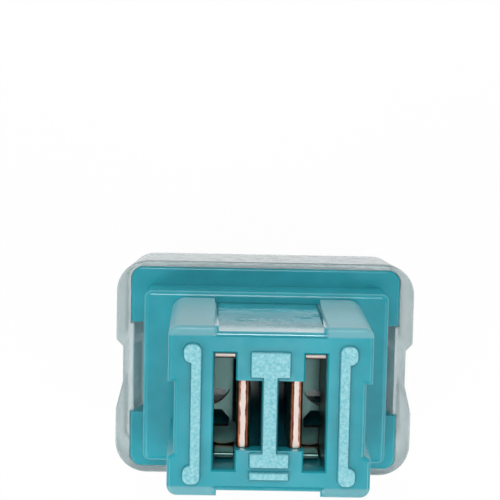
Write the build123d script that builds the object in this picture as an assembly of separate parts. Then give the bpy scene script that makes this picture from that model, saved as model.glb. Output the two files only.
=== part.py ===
from build123d import *
import math
import os

# Low-profile box fuse, resting on its cap face.
# Frame: Z = 0 is the cap face, +Z runs to the terminal mouths, X is the long side.
# The fuse is two mouldings and one folded metal strip:
#   housing       blue moulding: head inside the cap, shoulder, body with the two mouths
#   cap           clear moulded cap, latched over the head by a barb at each end
#   fuse_element  folded copper-alloy sheet: two blade clips joined by the thin link

# ---- overall sizes ----
cap_length = 15.2
cap_width = 11.0
cap_depth = 6.5
fuse_height = 16.8

# ---- cap walls and edges ----
cap_end_wall = 0.72
cap_side_wall = 0.30
cap_face_wall = 0.90
cap_corner = 1.6
cap_face_round = 0.30
cap_rim_round = 0.10
cap_draft = 2.0
fit_gap = 0.03

# ---- frosted panel, ring and numbers on the cap face ----
panel_length = 12.6
panel_width = 9.1
panel_depth = 0.25
panel_corner = 0.35
relief_height = 0.14
ring_radius = 2.05
ring_stroke = 0.16
digit_height = 1.65
digit_width = 1.05
digit_stroke = 0.27
digit_pitch = 1.42
digit_row = 3.4

# ---- latch barbs, their windows and the finger grooves in the cap ends ----
barb_width = 4.5
barb_reach = 0.62
barb_height = 1.85
barb_nose = 0.30
barb_gap = 0.05
barb_window_length = 0.42
barb_window_width = 2.0
groove_depth = 0.36
groove_top = 1.43
groove_flat_top = 1.07
groove_flat_low = -0.75
groove_low = -2.24

# ---- housing head and shoulder ----
head_gap = 0.25
rim_stand = 0.06
head_corner = 0.6
lip_round = 0.12
lip_end_step = 0.78
lip_side_step = 0.88
shoulder_top = 8.9
shoulder_corner = 0.40
shoulder_round = 0.25
shoulder_draft = 1.0

# ---- housing body, measured where it leaves the shoulder ----
body_length = 9.34
body_width = 7.95
body_corner = 0.65
body_draft = 1.5
body_round = 0.20
long_band_root = 5.2
long_band_end = 4.55
long_band_depth = 0.24
short_band_high = 1.28
short_band_low = -1.85
short_band_slope = 0.35
short_band_depth = 0.28

# ---- mouths and the raised pads around them ----
pad_height = 0.22
pad_draft = 20.0
tab_pitch = 3.97
slot_width = 0.97
slot_length = 5.2
centre_web = 0.70
recess_width = 3.1
recess_shift = -0.15
mouth_wall = 0.8
lead_width = 0.07
lead_depth = 0.10
side_pad_gap = 0.50
side_pad_web = 0.54
side_pad_foot = 0.86
side_pad_half = 3.15
side_pad_shift = -0.12
side_pad_foot_width = 0.92
side_pad_foot_corner = 0.36
centre_pad_high = 2.71
centre_pad_low = -2.48
centre_pad_flange = 1.80
centre_pad_high_flange = 1.20
centre_pad_low_flange = 0.72
centre_pad_corner = 0.12
bar_gap = 0.12
bar_width = 0.42

# ---- cavities inside the housing ----
window_length = 7.2
window_depth = 3.45
cavity_high = 2.62
cavity_low = -3.15
pocket_depth = 1.40
pocket_low = -2.40
shaft_half = 0.80

# ---- fuse element ----
sheet = 0.60
sheet_gap = 0.05
clip_floor = 11.2
clip_tip_drop = 0.30
blade_drop = 0.45
blade_width = 3.05
blade_round = 0.20
blade_fold = 0.50
leg_fold = 0.32
flange = 0.30
high_flange_drop = 0.55
low_flange_drop = 3.90
vent_high = -0.08
vent_low = -0.88
vent_inner = 1.72
eye_high = -1.07
eye_low = -1.90
eye_inner = 1.76
floor_end = -2.75
floor_end_radius = 1.15
floor_end_centre = 2.05
link_sheet = 0.25
link_width = 0.85
link_flat = 2.0
link_span = 3.7
link_clear = 1.40
link_slope = 0.9

# ---- sizes that follow from the ones above ----
head_length = cap_length - 2 * (cap_end_wall + fit_gap)
head_width = cap_width - 2 * (cap_side_wall + fit_gap)
head_bottom = cap_face_wall + head_gap
lip_top = cap_depth - rim_stand
shoulder_length = head_length - 2 * lip_end_step
shoulder_width = head_width - 2 * lip_side_step
land = fuse_height - pad_height
window_top = head_bottom + window_depth
slot_inner = tab_pitch / 2 - slot_width / 2
slot_outer = tab_pitch / 2 + slot_width / 2
cavity_inner = centre_web / 2
cavity_outer = slot_outer + sheet + 2 * sheet_gap
cavity_top = land - mouth_wall
barb_seat = cap_depth - barb_height - barb_gap
end_pocket_width = barb_width + 4 * barb_gap
leg_centre = slot_outer + sheet_gap + sheet / 2
blade_centre = slot_inner - sheet_gap - sheet / 2
shelf = clip_floor - sheet - sheet_gap
pocket_floor = shelf - pocket_depth
link_z = head_bottom + link_clear


def drafted_block(length, width, bottom, top, corner, draft):
    """Block about the Z axis, at full size at its bottom, whose walls lean in by the draft."""
    outline = RectangleRounded(length, width, corner) if corner > 0 else Rectangle(length, width)
    return extrude(Pos(0, 0, bottom) * outline, top - bottom, taper=draft)


def hanging_block(length, width, bottom, top, corner, draft):
    """Block about the Z axis, at full size at its top, whose walls lean in downwards."""
    outline = RectangleRounded(length, width, corner)
    return extrude(Plane((0, 0, top), z_dir=(0, 0, -1)) * outline, top - bottom, taper=draft)


def span_box(x_low, x_high, y_low, y_high, z_low, z_high):
    """Plain box between two corners."""
    size = Box(x_high - x_low, y_high - y_low, z_high - z_low)
    middle = ((x_low + x_high) / 2, (y_low + y_high) / 2, (z_low + z_high) / 2)
    return Pos(*middle) * size


def both_ends(shape):
    """The shape and its mirror image across the YZ plane."""
    return shape + mirror(shape, about=Plane.YZ)


# ---- cap ----

def digit_paths():
    """Centre lines of the digits 0, 2 and 3, about the middle of each digit."""
    w = (digit_width - digit_stroke) / 2
    h = (digit_height - digit_stroke) / 2
    zero = [
        Line((-w, w - h), (-w, h - w)),
        ThreePointArc((-w, h - w), (0, h), (w, h - w)),
        Line((w, h - w), (w, w - h)),
        ThreePointArc((w, w - h), (0, -h), (-w, w - h)),
    ]
    bowl = math.radians(35)
    turn = (w * math.cos(bowl), h - w - w * math.sin(bowl))
    two = [
        ThreePointArc((-w, h - w), (0, h), (w, h - w)),
        ThreePointArc((w, h - w), (w * math.cos(bowl / 2), h - w - w * math.sin(bowl / 2)), turn),
        Line(turn, (-w, -h)),
        Line((-w, -h), (w, -h)),
    ]
    r = h / 2
    three = [
        Line((-w, h), (w - r, h)),
        ThreePointArc((w - r, h), (w, r), (w - r, 0)),
        Line((w - r, 0), (-w / 3, 0)),
        ThreePointArc((w - r, 0), (w, -r), (w - r, -h)),
        Line((w - r, -h), (-w, -h)),
    ]
    return {"0": zero, "2": two, "3": three}


def number_relief(text, row, face_plane):
    """Raised plain number, centred on one row of the cap face."""
    paths = digit_paths()
    strokes = Sketch()
    for place, digit in enumerate(text):
        shift = (place - (len(text) - 1) / 2) * digit_pitch
        for edge in paths[digit]:
            strokes += Pos(shift, row) * trace(edge, digit_stroke)
    return extrude(face_plane * strokes, relief_height)


def face_relief():
    """Ring and the two numbers that stand on the sunk panel."""
    face = Plane(origin=(0, 0, panel_depth), x_dir=(-1, 0, 0), z_dir=(0, 0, -1))
    ring = Circle(ring_radius + ring_stroke / 2) - Circle(ring_radius - ring_stroke / 2)
    relief = extrude(face * ring, relief_height)
    relief += number_relief("20", digit_row, face)
    relief += number_relief("32", -digit_row, face)
    return relief


def cap_shell():
    """Rounded shell of the cap, open towards the mouths; its rim is the large end."""
    shell = hanging_block(cap_length, cap_width, 0, cap_depth, cap_corner, cap_draft)
    shell = fillet(shell.faces().sort_by(Axis.Z)[0].edges(), cap_face_round)
    shell = fillet(shell.faces().sort_by(Axis.Z)[-1].edges(), cap_rim_round)
    inner_length = head_length + 2 * fit_gap
    inner_width = head_width + 2 * fit_gap
    inner_corner = head_corner + fit_gap
    return shell - hanging_block(inner_length, inner_width, cap_face_wall, cap_depth, inner_corner, cap_draft)


def latch_barb():
    """Barb on the +X end wall: flat side down on the head's ledge, sloped side at the rim."""
    wall = cap_length / 2 - cap_end_wall
    low = cap_depth - barb_height
    nose_top = low + barb_nose
    profile = Polyline(
        (wall, low),
        (wall - barb_reach, low),
        (wall - barb_reach, nose_top),
        (wall - barb_reach / 3, cap_depth),
        (wall, cap_depth),
        close=True,
    )
    barb = extrude(Plane.XZ * make_face(profile), barb_width / 2, both=True)
    return barb + span_box(wall, wall + cap_end_wall / 3, -barb_width / 2, barb_width / 2, low, nose_top)


def finger_groove():
    """Shallow groove down the outside of the +X end, steep above and sloped below."""
    wall = cap_length / 2
    floor = wall - groove_depth
    outline = Polyline(
        (wall + groove_depth, groove_top),
        (wall, groove_top),
        (floor, groove_flat_top),
        (floor, groove_flat_low),
        (wall, groove_low),
        (wall + groove_depth, groove_low),
        close=True,
    )
    return extrude(make_face(outline), cap_depth)


def make_cap():
    """Clear cap with its sunk face panel, latch barbs and their mould windows."""
    cap = cap_shell()
    cap -= drafted_block(panel_length, panel_width, 0, panel_depth, panel_corner, 0)
    cap += face_relief()
    cap += both_ends(latch_barb())
    cap -= both_ends(finger_groove())
    lean = (cap_depth - cap_face_wall) * math.tan(math.radians(cap_draft))
    wall = cap_length / 2 - cap_end_wall - lean
    half = barb_window_width / 2
    window = span_box(wall - barb_window_length, wall, -half, half, 0, cap_face_wall)
    return cap - both_ends(window)


# ---- housing ----

def long_band():
    """Band sunk between the corner posts of both long sides, narrower towards the mouths."""
    core = drafted_block(
        2 * body_length, body_width - 2 * long_band_depth, shoulder_top, land, 0, body_draft
    )
    outline = Polyline(
        (-long_band_root / 2, shoulder_top),
        (long_band_root / 2, shoulder_top),
        (long_band_end / 2, land),
        (-long_band_end / 2, land),
        close=True,
    )
    return extrude(Plane.XZ * make_face(outline), body_width, both=True) - core


def short_band():
    """Band sunk in the +X side, square at its upper side and sloped at its lower side."""
    core = drafted_block(
        body_length - 2 * short_band_depth, 2 * body_width, shoulder_top, land, 0, body_draft
    )
    inner = body_length / 4
    wall = body_length / 2 - short_band_depth
    lean = (land - shoulder_top) * math.tan(math.radians(body_draft))
    outline = Polyline(
        (inner, short_band_high),
        (body_length, short_band_high),
        (body_length, short_band_low - short_band_slope),
        (wall + short_band_depth, short_band_low - short_band_slope),
        (wall - lean, short_band_low),
        (inner, short_band_low),
        close=True,
    )
    return extrude(Pos(0, 0, shoulder_top) * make_face(outline), land - shoulder_top) - core


def housing_body():
    """Drafted body with a sunk band on each of its four sides."""
    body = drafted_block(body_length, body_width, shoulder_top, land, body_corner, body_draft)
    body -= long_band()
    body -= both_ends(short_band())
    return fillet(body.faces().sort_by(Axis.Z)[-1].edges(), body_round)


def housing_outside():
    """Head, shoulder and body as one solid block."""
    head = hanging_block(head_length, head_width, head_bottom, lip_top, head_corner, cap_draft)
    head = fillet(head.faces().sort_by(Axis.Z)[-1].edges(), lip_round)
    shoulder = drafted_block(
        shoulder_length, shoulder_width, lip_top, shoulder_top, shoulder_corner, shoulder_draft
    )
    shoulder = fillet(shoulder.faces().sort_by(Axis.Z)[-1].edges(), shoulder_round)
    return head + shoulder + housing_body()


def raised(outline):
    """Pad of the given outline, standing on the land with sloped sides."""
    return extrude(Pos(0, 0, land) * outline, pad_height, taper=pad_draft)


def side_pad():
    """Raised dumbbell pad beside the +X slot."""
    inner = slot_outer + side_pad_gap
    straight = 2 * (side_pad_half - side_pad_foot_corner)
    outline = Pos(inner + side_pad_web / 2, 0) * Rectangle(side_pad_web, straight)
    foot = RectangleRounded(side_pad_foot, side_pad_foot_width, side_pad_foot_corner)
    for end in (-1, 1):
        middle = end * (side_pad_half - side_pad_foot_width / 2)
        outline += Pos(inner + side_pad_foot / 2, middle) * foot
    return Pos(0, side_pad_shift, 0) * raised(outline)


def centre_pad():
    """Raised I-shaped pad on the centre web, and the small bar beyond its lower end."""
    high_flange = RectangleRounded(centre_pad_flange, centre_pad_high_flange, centre_pad_corner)
    low_flange = RectangleRounded(centre_pad_flange, centre_pad_low_flange, centre_pad_corner)
    high = centre_pad_high - centre_pad_high_flange / 2
    low = centre_pad_low + centre_pad_low_flange / 2
    outline = Pos(0, (high + low) / 2) * Rectangle(centre_web, high - low)
    outline += Pos(0, high) * high_flange
    outline += Pos(0, low) * low_flange
    bar = centre_pad_low - bar_gap - bar_width / 2
    return raised(outline) + raised(Pos(0, bar) * Rectangle(centre_pad_flange, bar_width))


def mouth():
    """Everything cut for the +X clip: slot, recess, lead-in, cavity, pocket and link shaft."""
    low = cavity_top
    slot = span_box(slot_inner, slot_outer, -slot_length / 2, slot_length / 2, low, land)
    recess_low = recess_shift - recess_width / 2
    recess = span_box(cavity_inner, slot_inner, recess_low, recess_low + recess_width, low, land)
    lead_angle = math.degrees(math.atan(lead_width / lead_depth))
    lead_outline = Pos(tab_pitch / 2, 0, land - lead_depth) * Rectangle(slot_width, slot_length)
    lead = extrude(lead_outline, lead_depth, taper=-lead_angle)
    cavity = span_box(cavity_inner, cavity_outer, cavity_low, cavity_high, shelf, cavity_top)
    pocket = span_box(slot_inner, leg_centre, pocket_low, shaft_half, pocket_floor, shelf)
    shaft = span_box(slot_inner, leg_centre, -shaft_half, shaft_half, window_top, pocket_floor)
    return slot + recess + lead + cavity + pocket + shaft


def link_window():
    """Window in the head, open to the cap, where the link crosses."""
    half = window_length / 2
    return span_box(-half, half, cavity_low, cavity_high, head_bottom, window_top)


def barb_pocket():
    """Pocket in the +X end of the head that the cap's barb drops into."""
    wall = head_length / 2
    half = end_pocket_width / 2
    return span_box(wall - barb_reach - barb_gap, wall, -half, half, barb_seat, lip_top)


def make_housing():
    """Blue moulding with its two mouths, clip cavities and link window."""
    housing = housing_outside()
    housing -= both_ends(mouth())
    housing += both_ends(side_pad()) + centre_pad()
    return housing - link_window() - both_ends(barb_pocket())


# ---- fuse element ----

def folded(points, radius, thickness, low, high):
    """Sheet folded along a path in the XZ plane, between two places along Y."""
    path = FilletPolyline(*points, radius=radius)
    sheet_half = extrude(Plane.XZ * trace(path, thickness), (high - low) / 2, both=True)
    return Pos(0, (low + high) / 2, 0) * sheet_half


def outer_leg():
    """Outer leg and floor of the +X clip, folded once; the leg's tip is rounded."""
    low = cavity_low + sheet_gap
    high = cavity_high - sheet_gap
    middle = clip_floor - sheet / 2
    tip = cavity_top - clip_tip_drop
    leg = folded(
        [(blade_centre, middle), (leg_centre, middle), (leg_centre, tip)], leg_fold, sheet, low, high
    )
    return fillet(leg.edges().filter_by(Axis.X).group_by(Axis.Z)[-1], (high - low) / 6)


def contact_blade():
    """Inner leg of the +X clip; its sheared top edge shows in the mouth."""
    low = recess_shift - blade_width / 2
    middle = clip_floor - sheet / 2
    tip = land - blade_drop
    blade = folded(
        [(tab_pitch / 2, middle), (blade_centre, middle), (blade_centre, tip)],
        blade_fold,
        sheet,
        low,
        low + blade_width,
    )
    return fillet(blade.edges().filter_by(Axis.Y).group_by(Axis.Z)[-1], blade_round)


def floor_openings():
    """Crescent vent, five-sided eye and rounded end, cut through the clip's floor and fold."""
    vent_edges = [
        Line((vent_inner, vent_high), (leg_centre, vent_high)),
        Line((leg_centre, vent_high), (leg_centre, vent_low)),
        ThreePointArc(
            (leg_centre, vent_low),
            ((2 * vent_inner + leg_centre) / 3, (vent_high + 2 * vent_low) / 3),
            (vent_inner, vent_high),
        ),
    ]
    eye_middle = (eye_high + eye_low) / 2
    eye_start = (2 * eye_inner + leg_centre) / 3
    eye = Polyline(
        (eye_inner, eye_middle),
        (eye_start, eye_high),
        (leg_centre, eye_high),
        (leg_centre, eye_low),
        (eye_inner + sheet_gap, eye_low),
        close=True,
    )
    gap_low = cavity_low + sheet_gap + flange
    end_gap = span_box(slot_inner, leg_centre, gap_low, floor_end + floor_end_radius, 0, 2 * sheet)
    end_disc = Pos(floor_end_centre, floor_end + floor_end_radius, sheet)
    end_gap -= end_disc * Cylinder(floor_end_radius, 3 * sheet)
    sketch = make_face(vent_edges) + make_face(eye)
    return Pos(0, 0, clip_floor - sheet) * (extrude(sketch, 2 * sheet) + end_gap)


def end_flange(low, high, drop):
    """Flange across one end of the +X clip, with a rolled top edge."""
    inner = slot_inner + sheet_gap
    outer = slot_outer - sheet_gap
    plate = span_box(inner, outer, low, high, clip_floor - sheet / 2, land - drop)
    return fillet(plate.edges().filter_by(Axis.X).group_by(Axis.Z)[-1], 0.4 * (high - low))


def link_half():
    """Half of the thin link: down from the clip's floor, then bent across under the web."""
    points = [
        (-link_sheet / 2, link_z),
        (link_flat / 2, link_z),
        (link_span / 2, link_z + link_slope),
        (link_span / 2, clip_floor - sheet / 2),
    ]
    return folded(points, link_sheet, link_sheet, -link_width / 2, link_width / 2)


def clip():
    """The whole +X clip with its half of the link."""
    low = cavity_low + sheet_gap
    high = cavity_high - sheet_gap
    shell = outer_leg() + contact_blade() - floor_openings()
    shell += end_flange(high - flange, high, high_flange_drop)
    shell += end_flange(low, low + flange, low_flange_drop)
    return shell + link_half()


def make_fuse_element():
    """Both clips and the link, folded from one sheet."""
    return both_ends(clip())


os.makedirs("parts", exist_ok=True)
pieces = {
    "housing": make_housing(),
    "cap": make_cap(),
    "fuse_element": make_fuse_element(),
}
for name, piece in pieces.items():
    piece.label = name
    export_step(piece, os.path.join("parts", name + ".step"))
    print(name, "solids", len(piece.solids()), "volume", round(piece.volume, 2))
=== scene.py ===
# %% [markdown]
# # A low-profile box fuse
#
# This lesson finishes a small plug-in fuse: a blue moulded housing, a clear clip-on cap and a
# folded copper element. The shapes come ready made from the frame, so the lesson is about what
# makes three plain solids read as nylon, clear polycarbonate and tin-plated copper.
# It starts by loading the frame and keeping the box that the finished object must stay inside.

import math

import bpy
from mathutils import Euler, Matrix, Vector


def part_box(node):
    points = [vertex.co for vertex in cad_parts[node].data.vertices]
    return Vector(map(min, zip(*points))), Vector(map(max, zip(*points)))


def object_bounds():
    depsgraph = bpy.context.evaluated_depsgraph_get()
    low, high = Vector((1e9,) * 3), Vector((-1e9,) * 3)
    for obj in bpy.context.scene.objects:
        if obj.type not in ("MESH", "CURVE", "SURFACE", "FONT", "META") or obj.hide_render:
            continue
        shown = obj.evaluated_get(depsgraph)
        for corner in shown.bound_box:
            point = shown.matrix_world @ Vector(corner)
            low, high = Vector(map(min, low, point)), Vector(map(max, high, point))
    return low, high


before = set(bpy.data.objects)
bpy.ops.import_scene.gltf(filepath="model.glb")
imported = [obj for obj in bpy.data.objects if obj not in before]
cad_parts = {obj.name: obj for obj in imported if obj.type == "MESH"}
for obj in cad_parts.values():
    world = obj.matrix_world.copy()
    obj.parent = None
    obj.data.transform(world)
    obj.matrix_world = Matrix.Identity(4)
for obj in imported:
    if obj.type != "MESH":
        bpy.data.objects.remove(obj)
cad_box = [list(corner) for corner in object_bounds()]
MM = 0.001
print("object box in mm", [[round(value / MM, 2) for value in corner] for corner in cad_box])

# %% [markdown]
# ## Camera
#
# The fuse rests on its cap with the mouths up, and it is seen from just above the mouths, a
# little to the +Y side. A short distance gives the strong perspective of a close-up: the mouths
# look larger than the cap behind them. The tilt is set so that the fuse sits low in the
# square frame.

# %% Camera
top = cad_box[1][2]
camera_data = bpy.data.cameras.new("close_up")
camera_data.sensor_width = 36.0
camera_data.lens = 92.9
camera_data.clip_start = 2 * MM
camera_data.clip_end = 10.0
camera = bpy.data.objects.new("close_up", camera_data)
camera.location = (-1.86 * MM, 12.45 * MM, top + 55.0 * MM)
camera.rotation_euler = Euler([math.radians(angle) for angle in (-5.55, -0.77, 1.15)])
bpy.context.scene.collection.objects.link(camera)
bpy.context.scene.camera = camera
print("camera stands", round((camera.location.z - top) / MM, 1), "mm above the mouths")

# %% [markdown]
# ## Colours and nodes
#
# Colours are picked as the hex values of a screen, which are sRGB, while shaders count in linear
# light, so one function turns them. A second function adds a node with its settings and links;
# a name like i0 stands for an input by its number, where names repeat. A third starts a material.


# %% Colour and node helpers
def linear(hex_colour, alpha=1.0):
    """An sRGB hex colour as linear red, green, blue and alpha."""
    channels = [int(hex_colour[place : place + 2], 16) / 255 for place in (1, 3, 5)]
    turned = [c / 12.92 if c <= 0.04045 else ((c + 0.055) / 1.055) ** 2.4 for c in channels]
    return (*turned, alpha)


def add_node(tree, kind, settings=None, **inputs):
    """Adds a node; settings are its properties, inputs are values or the sockets to link."""
    node = tree.nodes.new("ShaderNode" + kind)
    for name, value in (settings or {}).items():
        setattr(node, name, value)
    for name, value in inputs.items():
        key = int(name[1:]) if name[0] == "i" and name[1:].isdigit() else name.replace("_", " ")
        if isinstance(value, bpy.types.NodeSocket):
            tree.links.new(value, node.inputs[key])
        else:
            node.inputs[key].default_value = value
    return node


def new_material(name):
    """An empty node material and its output node."""
    material = bpy.data.materials.new(name)
    material.use_nodes = True
    material.node_tree.nodes.clear()
    output = material.node_tree.nodes.new("ShaderNodeOutputMaterial")
    return material, material.node_tree, output


print("white in linear light", linear("#ffffff"))

# %% [markdown]
# ## Floor and backdrop
#
# Small parts are shown on white. The floor is a white matt sheet, and whatever sees it directly,
# in a reflection or through the clear cap also gets a share of plain white, so the page stays
# white while the contact shadow stays soft. From below the sheet is open, so that the face the
# fuse rests on can be looked at.


# %% Floor and backdrop
def white_material():
    """Matt white that is nearly a plain white page to the eye, in mirrors and through glass."""
    material, tree, output = new_material("white_paper")
    path = add_node(tree, "LightPath")
    seen = add_node(
        tree, "Math", {"operation": "MAXIMUM"},
        i0=path.outputs["Is Camera Ray"], i1=path.outputs["Is Glossy Ray"],
    )
    seen = add_node(
        tree, "Math", {"operation": "MAXIMUM"},
        i0=seen.outputs[0], i1=path.outputs["Is Transmission Ray"],
    )
    share = add_node(
        tree, "Math", {"operation": "MULTIPLY"}, i0=seen.outputs[0], i1=PAGE_SHARE
    )
    paper = add_node(tree, "BsdfDiffuse", Color=linear("#f6f6f6"))
    page = add_node(tree, "Emission", Color=(1, 1, 1, 1), Strength=1.0)
    mix = add_node(
        tree, "MixShader", i0=share.outputs[0], i1=paper.outputs[0], i2=page.outputs[0]
    )
    below = add_node(tree, "NewGeometry").outputs["Backfacing"]
    clear = add_node(tree, "BsdfTransparent")
    open_below = add_node(
        tree, "MixShader", i0=below, i1=mix.outputs[0], i2=clear.outputs[0]
    )
    tree.links.new(open_below.outputs[0], output.inputs["Surface"])
    return material


PAGE_SHARE = 0.96
FLOOR_SIZE = 2.0
FLOOR_CLEARANCE = 0.01 * MM
floor_level = cad_box[0][2] - FLOOR_CLEARANCE
bpy.ops.mesh.primitive_plane_add(size=FLOOR_SIZE, location=(0, 0, floor_level))
floor = bpy.context.object
floor.name = "floor"
floor.data.materials.append(white_material())
print("floor at", floor.location.z)

# %% [markdown]
# ## Light
#
# A flat face that mirrors a lamp turns pale, and the blue-green has to stay full. So three soft
# boxes stand around the direction that level faces mirror to the camera, and only a small weak
# one stands inside it, for glints. The world fills in the rest.


# %% Lights
def soft_box(name, place, size, level):
    """A square area lamp that looks at the fuse; level 1 lights white paper to plain white."""
    lamp = bpy.data.lights.new(name, "AREA")
    lamp.size = size
    target = Vector((0, 0, top / 2))
    reach = Vector(place) - target
    lamp.energy = level * math.pi**2 * reach.length_squared
    lamp_object = bpy.data.objects.new(name, lamp)
    lamp_object.location = place
    lamp_object.rotation_euler = reach.to_track_quat("Z", "Y").to_euler()
    bpy.context.scene.collection.objects.link(lamp_object)
    return lamp_object


soft_box("above", (-0.03, 0.22, 0.34), 0.16, 0.42)
soft_box("front_left", (-0.26, -0.20, 0.30), 0.20, 0.34)
soft_box("front_right", (0.28, -0.16, 0.28), 0.20, 0.28)
soft_box("glint", (0.014, -0.09, 0.42), 0.04, 0.02)

scene = bpy.context.scene
scene.view_settings.view_transform = "Standard"
world = bpy.data.worlds.new("studio")
world.use_nodes = True
world.node_tree.nodes.clear()
sky = add_node(world.node_tree, "Background", Color=linear("#f2f6f7"), Strength=0.38)
page = add_node(world.node_tree, "Background", Color=(1, 1, 1, 1), Strength=1.0)
path = add_node(world.node_tree, "LightPath")
mix = add_node(
    world.node_tree, "MixShader",
    i0=path.outputs["Is Camera Ray"], i1=sky.outputs[0], i2=page.outputs[0],
)
world_output = world.node_tree.nodes.new("ShaderNodeOutputWorld")
world.node_tree.links.new(mix.outputs[0], world_output.inputs["Surface"])
scene.world = world

# %% [markdown]
# ## Housing: tinted nylon, injection moulded
#
# The housing is nylon with a blue-green tint. Nylon is slightly milky: light goes a little way
# in before it comes out, which subsurface scattering gives. The sunk bands are polished and act
# as dark mirrors, the corner posts keep fine draw lines from sliding out of the mould, and the
# raised pads at the mouths are spark eroded and finely pitted; their paler, speckled colour is
# painted sheen and glints. The walls themselves are straight: a bump tilts the bands a little,
# as a sink mark would, so that they mirror the floor, and the posts' paler colour is painted sheen.
#
# Each finish covers a block of space, so a mask is a Map Range step along one of the Object
# coordinates, and a block is several such steps multiplied. Masks are then mixed and subtracted
# like any other value.

# %% Housing material
housing_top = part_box("housing")[1].z
PAD_HEIGHT = 0.22 * MM
PIT = 0.13 * MM
DRAW_LINE = 0.09 * MM
SHOULDER_TOP = 8.9 * MM
BAND_HALF = 2.35 * MM
LONG_WALL = (3.30 * MM, 3.40 * MM)
STEP_WIDTH = 0.2 * MM
BAND_EDGE = 0.15 * MM
CLOUD = 2.2 * MM
BLOTCH = 0.7 * MM
POST_SHEEN = 0.30
SINK = (11.0 * MM, 16.5 * MM)
SINK_DEPTH = 0.45 * MM


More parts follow.
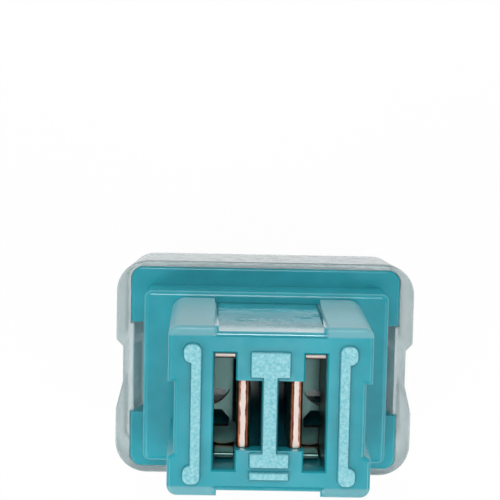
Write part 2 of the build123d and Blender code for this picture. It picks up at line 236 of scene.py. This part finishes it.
def nylon():
    """Blue-green tinted nylon: polished bands, lined posts and spark-eroded pads."""
    material, tree, output = new_material("tinted_nylon_moulded")
    place = add_node(tree, "TexCoord").outputs["Object"]
    axes = add_node(tree, "SeparateXYZ", Vector=place).outputs
    across = add_node(tree, "Math", {"operation": "ABSOLUTE"}, i0=axes["X"]).outputs[0]
    deep = add_node(tree, "Math", {"operation": "ABSOLUTE"}, i0=axes["Y"]).outputs[0]
    clouds = add_node(tree, "TexNoise", Vector=place, Scale=1 / CLOUD, Detail=3.0).outputs[0]
    pits = add_node(tree, "TexNoise", Vector=place, Scale=1 / PIT, Detail=2.0).outputs[0]
    blotch = add_node(tree, "TexNoise", Vector=place, Scale=1 / BLOTCH, Detail=2.0).outputs[0]

    pad_foot = housing_top - 0.75 * PAD_HEIGHT
    pads = add_node(
        tree, "MapRange", {"clamp": True},
        Value=axes["Z"], From_Min=pad_foot, From_Max=pad_foot + PAD_HEIGHT / 2,
    ).outputs[0]
    above_shoulder = add_node(
        tree, "MapRange", {"clamp": True},
        Value=axes["Z"], From_Min=SHOULDER_TOP, From_Max=SHOULDER_TOP + STEP_WIDTH,
    ).outputs[0]
    middle = add_node(
        tree, "MapRange", {"clamp": True},
        Value=across, From_Min=BAND_HALF + BAND_EDGE, From_Max=BAND_HALF,
    ).outputs[0]
    long_wall = add_node(
        tree, "MapRange", {"clamp": True},
        Value=deep, From_Min=LONG_WALL[0], From_Max=LONG_WALL[1],
    ).outputs[0]
    walls = add_node(
        tree, "Math", {"operation": "MULTIPLY"},
        i0=above_shoulder, i1=long_wall,
    ).outputs[0]
    bands = add_node(tree, "Math", {"operation": "MULTIPLY"}, i0=walls, i1=middle).outputs[0]
    posts = add_node(tree, "Math", {"operation": "SUBTRACT"}, i0=walls, i1=bands).outputs[0]

    wall_colour = add_node(
        tree, "Mix", {"data_type": "RGBA"},
        i0=clouds, i6=linear("#178a98"), i7=linear("#2fb0bf"),
    ).outputs[2]
    # Painted sheen and glints: the pads' colour is paler than the walls and speckled by the pits.
    pad_sheen_colour = add_node(
        tree, "Mix", {"data_type": "RGBA"},
        i0=add_node(
            tree, "MapRange", {"clamp": True},
            Value=pits, From_Min=0.30, From_Max=0.70,
        ).outputs[0],
        i6=linear("#6fbcc8"),
        i7=linear("#a4d8de"),
    ).outputs[2]
    colour = add_node(
        tree, "Mix", {"data_type": "RGBA"},
        i0=pads, i6=wall_colour, i7=pad_sheen_colour,
    ).outputs[2]
    # Painted sheen: the posts' colour is mixed 30 % of the way to a pale grey-blue.
    post_sheen_share = add_node(
        tree, "Math", {"operation": "MULTIPLY"},
        i0=posts, i1=POST_SHEEN,
    ).outputs[0]
    colour = add_node(
        tree, "Mix", {"data_type": "RGBA"},
        i0=post_sheen_share, i6=colour, i7=linear("#b9cfd1"),
    ).outputs[2]

    gloss = add_node(tree, "MapRange", Value=blotch, To_Min=0.16, To_Max=0.30).outputs[0]
    gloss = add_node(tree, "Mix", i0=bands, i2=gloss, i3=0.07).outputs[0]
    gloss = add_node(tree, "Mix", i0=posts, i2=gloss, i3=0.34).outputs[0]
    gloss = add_node(tree, "Mix", i0=pads, i2=gloss, i3=0.50).outputs[0]

    drawn = add_node(tree, "Mapping", Vector=place, Scale=(1, 1, 0.05)).outputs[0]
    lines = add_node(tree, "TexNoise", Vector=drawn, Scale=1 / DRAW_LINE, Detail=2.0).outputs[0]
    uneven = add_node(
        tree, "Math", {"operation": "ADD"},
        i0=pits, i1=add_node(tree, "Math", {"operation": "MULTIPLY"}, i0=blotch, i1=2.0).outputs[0],
    ).outputs[0]
    relief = add_node(tree, "Math", {"operation": "MULTIPLY"}, i0=uneven, i1=pads).outputs[0]
    post_lines = add_node(
        tree, "Math", {"operation": "MULTIPLY"},
        i0=lines, i1=add_node(tree, "Math", {"operation": "MULTIPLY"}, i0=posts, i1=0.5).outputs[0],
    ).outputs[0]
    relief = add_node(tree, "Math", {"operation": "ADD"}, i0=relief, i1=post_lines).outputs[0]
    relief = add_node(
        tree, "Math", {"operation": "ADD"},
        i0=relief,
        i1=add_node(tree, "Math", {"operation": "MULTIPLY"}, i0=blotch, i1=0.25).outputs[0],
    ).outputs[0]
    tilt = add_node(
        tree, "MapRange", {"clamp": True},
        Value=axes["Z"], From_Min=SINK[1], From_Max=SINK[0],
    ).outputs[0]
    sink = add_node(
        tree, "Math", {"operation": "ADD"},
        i0=tilt, i1=add_node(tree, "Math", {"operation": "MULTIPLY"}, i0=clouds, i1=0.45).outputs[0],
    ).outputs[0]
    sink = add_node(tree, "Math", {"operation": "MULTIPLY"}, i0=sink, i1=bands).outputs[0]
    sunk = add_node(tree, "Bump", Strength=1.0, Distance=SINK_DEPTH, Height=sink)
    bump = add_node(
        tree, "Bump", Strength=0.5, Distance=0.05 * MM, Height=relief, Normal=sunk.outputs[0]
    )
    plastic = add_node(
        tree, "BsdfPrincipled", Base_Color=colour, Roughness=gloss, Normal=bump.outputs[0],
        IOR=1.53, Coat_Weight=bands, Coat_Roughness=0.05,
        Subsurface_Weight=0.4, Subsurface_Scale=0.7 * MM,
        Subsurface_Radius=(0.35, 0.95, 1.0),
    )
    tree.links.new(plastic.outputs[0], output.inputs["Surface"])
    return material


def dress(node, material):
    """Gives a CAD node its finish in every slot."""
    for slot in node.material_slots:
        slot.material = material
    if not node.material_slots:
        node.data.materials.append(material)


dress(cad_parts["housing"], nylon())
print("housing faces", len(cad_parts["housing"].data.polygons))

# %% [markdown]
# ## Cap: clear polycarbonate with a frosted face
#
# The cap is clear polycarbonate. Its walls have soft flow marks, so they look like slightly hazy
# grey glass, and the sunk panel of the face has a coarse grain that blurs what lies behind it. A
# share of a pale opaque shader gives the haze. Lamps can't shine through a solid glass shader in
# reasonable time, so shadow rays pass a thin tint instead.

# %% Cap material
PANEL_HALF = (6.3 * MM, 4.55 * MM)
GRAIN_MARGIN = 0.35 * MM
PANEL_DEPTH = 0.30 * MM
FROST = 0.20 * MM
FLOW = 1.1 * MM


def polycarbonate():
    """Clear moulded cap with hazy walls, frosted on the sunk face panel."""
    material, tree, output = new_material("clear_polycarbonate_moulded")
    place = add_node(tree, "TexCoord").outputs["Object"]
    axes = add_node(tree, "SeparateXYZ", Vector=place).outputs
    panel = add_node(
        tree, "MapRange", {"clamp": True},
        Value=axes["Z"], From_Min=PANEL_DEPTH + 0.02 * MM, From_Max=PANEL_DEPTH,
    ).outputs[0]
    for axis, half in (("X", PANEL_HALF[0]), ("Y", PANEL_HALF[1])):
        size = add_node(tree, "Math", {"operation": "ABSOLUTE"}, i0=axes[axis]).outputs[0]
        edge = half - GRAIN_MARGIN
        panel = add_node(
            tree, "Math", {"operation": "MULTIPLY"},
            i0=panel,
            i1=add_node(
                tree, "MapRange", {"clamp": True},
                Value=size, From_Min=edge + 0.05 * MM, From_Max=edge,
            ).outputs[0],
        ).outputs[0]
    frost = add_node(tree, "TexNoise", Vector=place, Scale=1 / FROST, Detail=3.0).outputs[0]
    wave = add_node(tree, "TexNoise", Vector=place, Scale=1 / FLOW, Detail=3.0).outputs[0]
    height = add_node(tree, "Mix", i0=panel, i2=wave, i3=frost).outputs[0]
    bump = add_node(tree, "Bump", Strength=0.5, Distance=0.08 * MM, Height=height)
    roughness = add_node(tree, "MapRange", Value=wave, To_Min=0.10, To_Max=0.28).outputs[0]
    roughness = add_node(tree, "Mix", i0=panel, i2=roughness, i3=0.45).outputs[0]
    clear = add_node(
        tree, "BsdfPrincipled", Base_Color=linear("#e2ebec"), Roughness=roughness,
        IOR=1.585, Transmission_Weight=1.0, Normal=bump.outputs[0],
    )
    haze = add_node(
        tree, "BsdfPrincipled", Base_Color=linear("#bccbcc"), Roughness=0.35,
        IOR=1.585, Normal=bump.outputs[0],
    )
    share = add_node(tree, "MapRange", Value=wave, To_Min=0.10, To_Max=0.42).outputs[0]
    share = add_node(tree, "Mix", i0=panel, i2=share, i3=0.10).outputs[0]
    hazy = add_node(
        tree, "MixShader", i0=share, i1=clear.outputs[0], i2=haze.outputs[0]
    )
    tint = add_node(tree, "BsdfTransparent", Color=linear("#e9f4f5"))
    path = add_node(tree, "LightPath")
    mix = add_node(
        tree, "MixShader",
        i0=path.outputs["Is Shadow Ray"], i1=hazy.outputs[0], i2=tint.outputs[0],
    )
    tree.links.new(mix.outputs[0], output.inputs["Surface"])
    return material


dress(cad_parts["cap"], polycarbonate())
print("cap faces", len(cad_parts["cap"].data.polygons))

# %% [markdown]
# ## Fuse element: tin-plated copper sheet
#
# The element is punched from copper sheet that was tin plated first. So its flat faces are tin,
# while the leg tips, the edges of the floor and the link show bare copper. The sheet lies flat in
# the floor and stands upright in the legs, so the way a surface faces tells an edge from a face:
# the leg tips face up and the floor's edges face sideways. The tin's dark green-grey is a painted
# reflection of the blue walls around it, and the tips carry a ragged painted highlight.

# %% Element material
ROLL_LINE = 0.05 * MM
FLOOR_TOP = 11.2 * MM
LINK_TOP = 4.6 * MM
BLADE_PLACE = 1.17 * MM
TARNISH = 0.6 * MM
HIGHLIGHT_HALF = (0.03 * MM, 0.16 * MM)


def plated_copper():
    """Tin-plated sheet with bare copper on the leg tips, the floor edges and the link."""
    material, tree, output = new_material("tin_plated_copper_sheet")
    place = add_node(tree, "TexCoord").outputs["Object"]
    axes = add_node(tree, "SeparateXYZ", Vector=place).outputs
    height = axes["Z"]
    facing = add_node(tree, "NewGeometry").outputs["True Normal"]
    sides = add_node(tree, "SeparateXYZ", Vector=facing).outputs
    up = add_node(tree, "Math", {"operation": "ABSOLUTE"}, i0=sides["Z"]).outputs[0]
    in_legs = add_node(
        tree, "MapRange", {"clamp": True},
        Value=height, From_Min=FLOOR_TOP + 0.5 * MM, From_Max=FLOOR_TOP + 0.6 * MM,
    ).outputs[0]
    near_tip = add_node(
        tree, "MapRange", {"clamp": True},
        Value=height, From_Min=housing_top - 1.30 * MM, From_Max=housing_top - 0.95 * MM,
    ).outputs[0]
    tip_edge = add_node(
        tree, "Math", {"operation": "MULTIPLY"},
        i0=near_tip,
        i1=add_node(
            tree, "MapRange", {"clamp": True},
            Value=up, From_Min=0.05, From_Max=0.15,
        ).outputs[0],
    ).outputs[0]
    flat_share = add_node(
        tree, "MapRange", {"clamp": True},
        Value=up, From_Min=0.60, From_Max=0.40,
    ).outputs[0]
    floor_edge = add_node(
        tree, "Math", {"operation": "MULTIPLY"},
        i0=flat_share,
        i1=add_node(tree, "Math", {"operation": "SUBTRACT"}, i0=1.0, i1=in_legs).outputs[0],
    ).outputs[0]
    link = add_node(
        tree, "MapRange", {"clamp": True},
        Value=height, From_Min=LINK_TOP + 0.4 * MM, From_Max=LINK_TOP,
    ).outputs[0]
    bare = add_node(
        tree, "Math", {"operation": "MAXIMUM"},
        i0=add_node(
            tree, "Math", {"operation": "MAXIMUM"},
            i0=tip_edge, i1=floor_edge,
        ).outputs[0],
        i1=link,
    ).outputs[0]

    along = add_node(tree, "Mapping", Vector=place, Scale=(1, 1, 0.06)).outputs[0]
    lines = add_node(tree, "TexNoise", Vector=along, Scale=1 / ROLL_LINE, Detail=2.0).outputs[0]
    tarnish = add_node(tree, "TexNoise", Vector=place, Scale=1 / TARNISH, Detail=4.0).outputs[0]
    copper = add_node(
        tree, "Mix", {"data_type": "RGBA"},
        i0=add_node(
            tree, "MapRange", {"clamp": True},
            Value=tarnish, From_Min=0.35, From_Max=0.65,
        ).outputs[0],
        i6=linear("#5e3226"),
        i7=linear("#a3654b"),
    ).outputs[2]
    across = add_node(tree, "Math", {"operation": "ABSOLUTE"}, i0=axes["X"]).outputs[0]
    from_line = add_node(
        tree, "Math", {"operation": "ABSOLUTE"},
        i0=add_node(
            tree, "Math", {"operation": "SUBTRACT"},
            i0=across, i1=BLADE_PLACE,
        ).outputs[0],
    ).outputs[0]
    # Painted highlight: a ragged line along the middle of each leg tip, and the tops at the +Y end,
    # turn near-white.
    ragged = add_node(
        tree, "Math", {"operation": "MULTIPLY_ADD"},
        i0=tarnish, i1=HIGHLIGHT_HALF[1], i2=HIGHLIGHT_HALF[0],
    ).outputs[0]
    highlight_line = add_node(
        tree, "Math", {"operation": "LESS_THAN"},
        i0=from_line, i1=ragged,
    ).outputs[0]
    highlight_line = add_node(
        tree, "Math", {"operation": "MAXIMUM"},
        i0=highlight_line,
        i1=add_node(
            tree, "Math", {"operation": "GREATER_THAN"},
            i0=axes["Y"], i1=2.0 * MM,
        ).outputs[0],
    ).outputs[0]
    # Painted shade: copper deep in the shaft, above the link and below the floor, is darkened to
    # dark brown.
    in_shaft = add_node(
        tree, "MapRange", {"clamp": True},
        Value=height, From_Min=FLOOR_TOP - 0.4 * MM, From_Max=FLOOR_TOP - 0.7 * MM,
    ).outputs[0]
    painted_shaft_shade = add_node(tree, "Math", {"operation": "SUBTRACT"}, i0=in_shaft, i1=link).outputs[0]
    copper = add_node(
        tree, "Mix", {"data_type": "RGBA"},
        i0=painted_shaft_shade, i6=copper, i7=linear("#4d2c22"),
    ).outputs[2]
    highlight_tops = add_node(
        tree, "Math", {"operation": "MULTIPLY"},
        i0=highlight_line,
        i1=add_node(
            tree, "MapRange", {"clamp": True},
            Value=up, From_Min=0.80, From_Max=0.95,
        ).outputs[0],
    ).outputs[0]
    painted_highlight = add_node(
        tree, "Math", {"operation": "MULTIPLY"},
        i0=tip_edge, i1=highlight_tops,
    ).outputs[0]
    # Painted highlight: near-white copper on the marked tops.
    copper = add_node(
        tree, "Mix", {"data_type": "RGBA"},
        i0=painted_highlight, i6=copper, i7=linear("#fbe9e0"),
    ).outputs[2]
    # Painted reflection: the tin is a dark green-grey, as if it mirrored the blue walls around it.
    tin_and_wall_reflection = add_node(
        tree, "Mix", {"data_type": "RGBA"},
        i0=tarnish, i6=linear("#587a76"), i7=linear("#88aaa6"),
    ).outputs[2]
    colour = add_node(tree, "Mix", {"data_type": "RGBA"}, i0=bare, i6=tin_and_wall_reflection, i7=copper).outputs[2]
    roughness = add_node(tree, "MapRange", Value=tarnish, To_Min=0.22, To_Max=0.40).outputs[0]
    bump = add_node(tree, "Bump", Strength=0.3, Distance=0.012 * MM, Height=lines)
    metal = add_node(
        tree, "BsdfPrincipled", Base_Color=colour, Metallic=1.0, Roughness=roughness,
        Normal=bump.outputs[0],
    )
    tree.links.new(metal.outputs[0], output.inputs["Surface"])
    return material


dress(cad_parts["fuse_element"], plated_copper())
print("element faces", len(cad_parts["fuse_element"].data.polygons))
